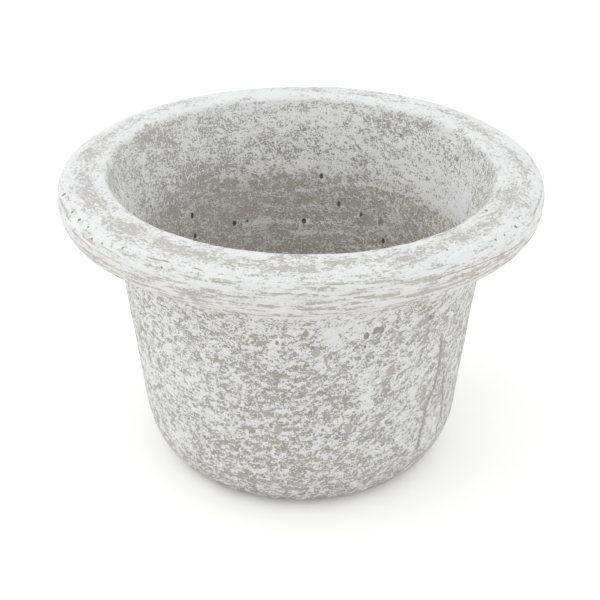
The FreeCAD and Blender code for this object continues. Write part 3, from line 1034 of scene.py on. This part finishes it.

# Smears of paint and rubbed places in the photograph, with a few marks of painted light and painted shade: x, y and
# radius in pixels, then the change of cover
MARKS = (
    (320, 369, 7, 0.4), (273, 360, 11, 0.3), (368, 376, 10, 0.6), (367, 394, 9, 0.7), (363, 407, 8, 0.6),
    (403, 411, 15, 0.25), (405, 359, 15, 0.25), (221, 426, 15, 0.25), (344, 328, 20, 0.25), (356, 443, 14, 0.2),
    (379, 450, 16, 0.2), (302, 450, 10, 0.2), (349, 401, 14, -0.25), (316, 386, 12, -0.2), (250, 480, 10, -0.25),
    (295, 461, 12, -0.2), (225, 338, 26, -0.1), (379, 436, 12, -0.2), (96, 204, 11, -0.3), (111, 222, 11, -0.3),
    (129, 239, 10, -0.3), (137, 229, 9, -0.3), (166, 238, 8, -0.25), (202, 256, 10, -0.25), (229, 266, 9, -0.2),
    (293, 272, 10, -0.3), (305, 257, 9, -0.25), (280, 257, 8, -0.25), (404, 258, 11, -0.25), (455, 236, 11, -0.25),
    (481, 226, 9, -0.2), (503, 193, 11, -0.2), (519, 202, 9, -0.2), (342, 260, 9, -0.25), (410, 263, 8, -0.25),
    (190, 150, 20, 0.1), (320, 128, 14, 0.5), (405, 175, 11, 0.35), (425, 192, 11, 0.4), (455, 190, 24, 0.2),
    (447, 210, 12, 0.4), (300, 94, 45, 0.15), (215, 99, 35, 0.1), (385, 99, 35, 0.2), (150, 112, 25, 0.2),
    # (160, 340), (146, 365) and (152, 400) lighten the body's left edge: painted light from the side
    (450, 112, 25, 0.2), (185, 380, 45, 0.2), (160, 340, 20, 0.15), (146, 365, 18, 0.4), (152, 400, 16, 0.4),
    (436, 221, 12, 0.5), (480, 175, 16, 0.2), (200, 178, 22, -0.35), (165, 188, 14, -0.35), (390, 215, 24, 0.3),
    (420, 226, 12, 0.4), (336, 112, 12, 0.4), (160, 278, 10, -0.4), (188, 285, 10, -0.4), (425, 293, 12, -0.4),
    # (145, 140), (165, 158) and (135, 172) darken the inner wall below the left rim: painted shade
    (145, 140, 18, -0.2), (462, 208, 14, 0.6), (455, 215, 10, 0.4), (428, 316, 14, -0.3), (165, 158, 28, -0.15),
    (226, 158, 24, -0.3), (135, 172, 14, -0.25), (187, 190, 16, -0.2), (408, 312, 12, -0.2), (175, 432, 30, 0.3),
    (430, 430, 28, 0.3), (425, 372, 18, 0.25), (322.6, 430.2, 4.5, 0.9), (271, 425.3, 4, 0.9), (317, 386, 3.5, 0.8),
    (192.3, 218, 5, 0.6), (321.4, 177, 4.5, 0.7), (339, 205, 4, 0.5), (304, 222, 4, 0.5), (234.4, 225, 4, 0.5),
    (380.6, 224, 5, 0.5), (366.4, 337, 4, 0.5),
)

MARK_STRENGTH = 0.5

# Painted light: the film rises towards the left and right sides, as seen from the front, which lightens them as the
# light on the sides would
LEFT_PAINTED_LIGHT = 0.4
RIGHT_PAINTED_LIGHT = 0.5

# Metres that a pixel covers at the pot, and pixels from step to step along a trail
PIXEL = 0.00085
TRAIL_STEP = 2.5

# A mark stays on its own side of the wall: least cosine between its normal and that of a point it reaches
SAME_SIDE = 0.3

# Smears on the sides that the photograph doesn't show: how many, radius in pixels, change of cover, and how far from
# the pot's middle, to the back on the outside and to the front on the inside, they start
SMEAR_COUNT = 90
SMEAR_SEED = 4
SMEAR_RADIUS = (8, 26)
SMEAR_CHANGE = (-0.5, 0.8)
SMEAR_BACK = 0.02
SMEAR_FRONT = 0.05


def steps_along(path):
    """Pixels along a path, a few pixels apart."""
    for (x0, y0), (x1, y1) in zip(path, path[1:]):
        steps = math.ceil(math.hypot(x1 - x0, y1 - y0) / TRAIL_STEP)
        for step in range(steps):
            yield x0 + (x1 - x0) * step / steps, y0 + (y1 - y0) * step / steps


def hidden_smears(points, station):
    """Smears and rubbed places on the sides that the photograph doesn't show, at random."""
    chance = np.random.default_rng(SMEAR_SEED)
    behind = (station > FOOT + 0.3) & (station < LIP) & (points[:, 1] > SMEAR_BACK)
    front_inside = (station > FLARE) & (station < FLOOR_CORNER) & (points[:, 1] < -SMEAR_FRONT)
    for index in chance.choice(np.flatnonzero(behind | front_inside), SMEAR_COUNT):
        yield points[index], chance.uniform(*SMEAR_RADIUS), chance.uniform(*SMEAR_CHANGE)


def lay_paint(mesh, sight):
    """Stores how the paint lies on each point of the casting, with painted light on its sides and a few marks of
    painted light and shade.
    """
    station = np.empty(len(mesh.vertices), np.float32)
    mesh.attributes["station"].data.foreach_get("value", station)
    points, normals = np.empty((2, len(mesh.vertices) * 3), np.float32)
    mesh.vertices.foreach_get("co", points)
    mesh.vertices.foreach_get("normal", normals)
    points, normals = points.reshape(-1, 3), normals.reshape(-1, 3)

    def squared_distance(place):
        return ((points - place) ** 2).sum(1)

    def faded(away, radius, change):
        """Change of cover that fades with the squared distance from a mark."""
        return MARK_STRENGTH * change * np.exp(-away / (radius * PIXEL) ** 2)

    paint = {name: np.interp(station, *zip(*stops)) for name, stops in PAINT.items()}
    smears = [(np.array(sight.point(x, y)), radius, change) for x, y, radius, change in MARKS]
    smears += hidden_smears(points, station)
    for middle, radius, change in smears:
        away = squared_distance(middle)
        paint["cover"] += faded(away, radius, change) * (normals @ normals[away.argmin()] > SAME_SIDE)
    for radius, change, path in TRAILS_SEEN:
        away = np.full(len(points), np.inf)
        for x, y in steps_along(path):
            away = np.minimum(away, squared_distance(np.array(sight.point(x, y))))
        paint["cover"] += faded(away, radius, change)
    # Painted light on the left and right sides: more film the further a point lies to either side
    aside = points[:, 0] / CAD_HIGH.x
    paint["film"] += np.where(aside < 0, LEFT_PAINTED_LIGHT, RIGHT_PAINTED_LIGHT * (station < LIP)) * np.abs(aside)
    for name, values in paint.items():
        mesh.attributes.new(name, "FLOAT", "POINT").data.foreach_set("value", values.astype(np.float32))


# Pieces

def add_piece(name, mesh, body, node):
    """Piece that rides on a body and stands for a CAD node, which it hides."""
    piece = new_object(name, mesh)
    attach(piece, body)
    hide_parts(node)


class PLANTER_OT_casting(bpy.types.Operator):
    """Build the whitewashed concrete casting, which stands for the plain pot"""

    bl_idname = "planter.casting"
    bl_label = "Concrete casting"

    def execute(self, context):
        sizes, colours = context.scene.planter_casting, context.scene.planter_colours
        tree = casting_tree(sizes, whitewash_material(colours), bare_concrete_material(colours))
        plain = plain_mesh("plain_casting", tree, sizes, **{"Air holes": 0.0})
        sight = Sight(plain, context.scene.planter_stage)
        hollows = [(*hole, -sizes.air_hole_sink) for hole in AIR_HOLES_SEEN]
        hollows += [(*pock, sizes.pock_lift) for pock in POCKS_SEEN]
        hollows += [(*dent, sizes.dent_lift) for dent in DENTS_SEEN]
        places = [[sight.point(x, y)] for x, y, _, _ in hollows]
        _, _, radii, lifts = zip(*hollows)
        holes = marked_points("air_hole_places", places, size=radii, lift=lifts)
        lines = [(*groove, sizes.groove_lift) for groove in GROOVES_SEEN]
        lines += [(*line, sizes.line_lift) for line in LINES_SEEN]
        paths = [[sight.point(x, y) for x, y in path] for _, path, _ in lines]
        radii, _, lifts = zip(*lines)
        grooves = marked_points("groove_paths", paths, size=radii, lift=lifts)
        mesh = plain_mesh("planter_casting", tree, sizes, **{"Air hole places": holes, "Groove paths": grooves})
        bpy.data.objects.remove(holes)
        bpy.data.objects.remove(grooves)
        lay_paint(mesh, sight)
        add_piece("planter_casting", mesh, body="pot", node="concrete_pot")
        return {"FINISHED"}


class PLANTER_OT_plug(bpy.types.Operator):
    """Build the rubber stopper of the drain"""

    bl_idname = "planter.plug"
    bl_label = "Drain stopper"

    def execute(self, context):
        sizes = context.scene.planter_fittings
        tree = plug_tree(sizes, rubber_material(context.scene.planter_colours))
        mesh = plain_mesh("drain_stopper", tree, sizes)
        add_piece("drain_stopper", mesh, body="plug", node="drain_plug")
        return {"FINISHED"}


class PLANTER_OT_pads(bpy.types.Operator):
    """Build the rubber pads under the base"""

    bl_idname = "planter.pads"
    bl_label = "Foot pads"

    def execute(self, context):
        sizes = context.scene.planter_fittings
        tree = pad_tree(sizes, rubber_material(context.scene.planter_colours))
        mesh = plain_mesh("tread_pads", tree, sizes)
        add_piece("tread_pads", mesh, body="pot", node="foot_pads")
        return {"FINISHED"}


class PLANTER_OT_inserts(bpy.types.Operator):
    """Give the cast-in sleeve and hoop, whose solids stay, their materials"""

    bl_idname = "planter.inserts"
    bl_label = "Cast-in sleeve and hoop"

    def execute(self, context):
        colours = context.scene.planter_colours
        for node, material in (("drain_sleeve", plastic_material(colours)), ("rim_hoop", wire_material(colours))):
            for material_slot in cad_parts[node].material_slots:
                material_slot.material = material
        return {"FINISHED"}


# Stage

WHITE = (1, 1, 1, 1)

# Half of the floor's side, and where its glow starts and ends to change, in metres
FLOOR_HALF = 6.0
GLOW_NEAR, GLOW_FAR = 0.6, 2.0
FLOOR_SHADE = (0.93, 0.93, 0.93, 1)

# Place and size of each lamp, and the point that all of them face
LAMPS = {
    "top_lamp": ((-0.25, -0.35, 1.6), 1.8),
    "left_lamp": ((-1.6, 0.0, 1.1), 2.2),
    "right_lamp": ((1.6, 0.0, 1.0), 2.2),
}
LAMP_AIM = Vector((0, 0, 0.15))

# Width of the camera's sensor in millimetres, and how far it sees in metres
SENSOR = 36.0
CLIP_END = 50


def seen_directly(plan):
    """1 for what the camera sees straight, in a mirror or through glass."""
    path = plan.add("ShaderNodeLightPath")
    either = path.pick("Is Camera Ray") + path.pick("Is Glossy Ray") + path.pick("Is Transmission Ray")
    return plan.math("MINIMUM", either, 1.0)


class PLANTER_OT_stage(bpy.types.Operator):
    """Set the floor, the light and the camera"""

    bl_idname = "planter.stage"
    bl_label = "Studio stage"

    def execute(self, context):
        stage = context.scene.planter_stage
        self.set_floor(stage)
        self.set_sky(context.scene, stage)
        for name, (place, size) in LAMPS.items():
            self.set_lamp(name, place, size, getattr(stage, name))
        self.set_camera(context.scene, stage)
        context.scene.view_settings.view_transform = "Standard"
        return {"FINISHED"}

    def set_floor(self, stage):
        mesh = bpy.data.meshes.new("studio_floor")
        corners = [(x * FLOOR_HALF, y * FLOOR_HALF, 0) for x, y in ((-1, -1), (1, -1), (1, 1), (-1, 1))]
        mesh.from_pydata(corners, [], [(0, 1, 2, 3)])
        material, plan, place = new_material("studio_floor")
        away = plan.ramp(plan.vector("LENGTH", place), GLOW_NEAR, GLOW_FAR)
        glow = plan.blend(away, (stage.floor_glow,) * 3, (stage.far_glow,) * 3)
        glow = plan.add("ShaderNodeEmission", {"Color": glow, "Strength": 1.0})
        white = plan.add("ShaderNodeBsdfDiffuse", {"Color": WHITE})
        bright = plan.add("ShaderNodeAddShader", {0: white, 1: glow})
        shade = plan.add("ShaderNodeBsdfDiffuse", {"Color": FLOOR_SHADE})
        mixed = plan.add("ShaderNodeMixShader", {0: seen_directly(plan), 1: shade, 2: bright})
        plan.add("ShaderNodeOutputMaterial", {"Surface": mixed})
        mesh.materials.append(material)
        new_object("studio_floor", mesh)

    def set_sky(self, scene, stage):
        world = bpy.data.worlds.new("studio_sky")
        world.use_nodes = True
        world.node_tree.nodes.clear()
        plan = Plan(world.node_tree)
        light = plan.add("ShaderNodeBackground", {"Color": WHITE, "Strength": stage.sky})
        white = plan.add("ShaderNodeBackground", {"Color": WHITE, "Strength": 1.0})
        mixed = plan.add("ShaderNodeMixShader", {0: seen_directly(plan), 1: light, 2: white})
        plan.add("ShaderNodeOutputWorld", {"Surface": mixed})
        scene.world = world

    def set_lamp(self, name, place, size, power):
        lamp = bpy.data.lights.new(name, "AREA")
        lamp.shape = "DISK"
        lamp.size = size
        lamp.energy = power
        turn = (LAMP_AIM - Vector(place)).to_track_quat("-Z", "Y").to_matrix().to_4x4()
        new_object(name, lamp).matrix_world = Matrix.Translation(place) @ turn

    def set_camera(self, scene, stage):
        lens = bpy.data.cameras.new("photo_camera")
        lens.sensor_width = SENSOR
        lens.lens = stage.focal_pixels / PICTURE * SENSOR
        lens.shift_x = -stage.centre_pixels / PICTURE
        lens.clip_end = CLIP_END
        scene.camera = new_object("photo_camera", lens)
        scene.camera.matrix_world = camera_matrix(stage)


# Add-on

class PLANTER_PT_sidebar(bpy.types.Panel):
    """Lists the planter's pieces and settings"""

    bl_label = "Planter"
    bl_idname = "PLANTER_PT_sidebar"
    bl_space_type = "VIEW_3D"
    bl_region_type = "UI"
    bl_category = "Planter"

    def draw(self, context):
        for operator in OPERATORS:
            self.layout.operator(operator.bl_idname)
        for group, name in GROUPS.items():
            box = self.layout.box()
            for key in group.__annotations__:
                box.prop(getattr(context.scene, name), key)


OPERATORS = (PLANTER_OT_casting, PLANTER_OT_plug, PLANTER_OT_pads, PLANTER_OT_inserts, PLANTER_OT_stage)
GROUPS = {
    CastingSizes: "planter_casting", FittingSizes: "planter_fittings", FinishColours: "planter_colours",
    StageSettings: "planter_stage",
}
CLASSES = (*GROUPS, *OPERATORS, PLANTER_PT_sidebar)


def register():
    for item in CLASSES:
        bpy.utils.register_class(item)
    for group, name in GROUPS.items():
        setattr(bpy.types.Scene, name, PointerProperty(type=group))


def unregister():
    for name in GROUPS.values():
        delattr(bpy.types.Scene, name)
    for item in reversed(CLASSES):
        bpy.utils.unregister_class(item)


def main():
    register()
    bpy.ops.planter.casting()
    bpy.ops.planter.plug()
    bpy.ops.planter.pads()
    bpy.ops.planter.inserts()
    bpy.ops.planter.stage()


if __name__ == "__main__":
    main()
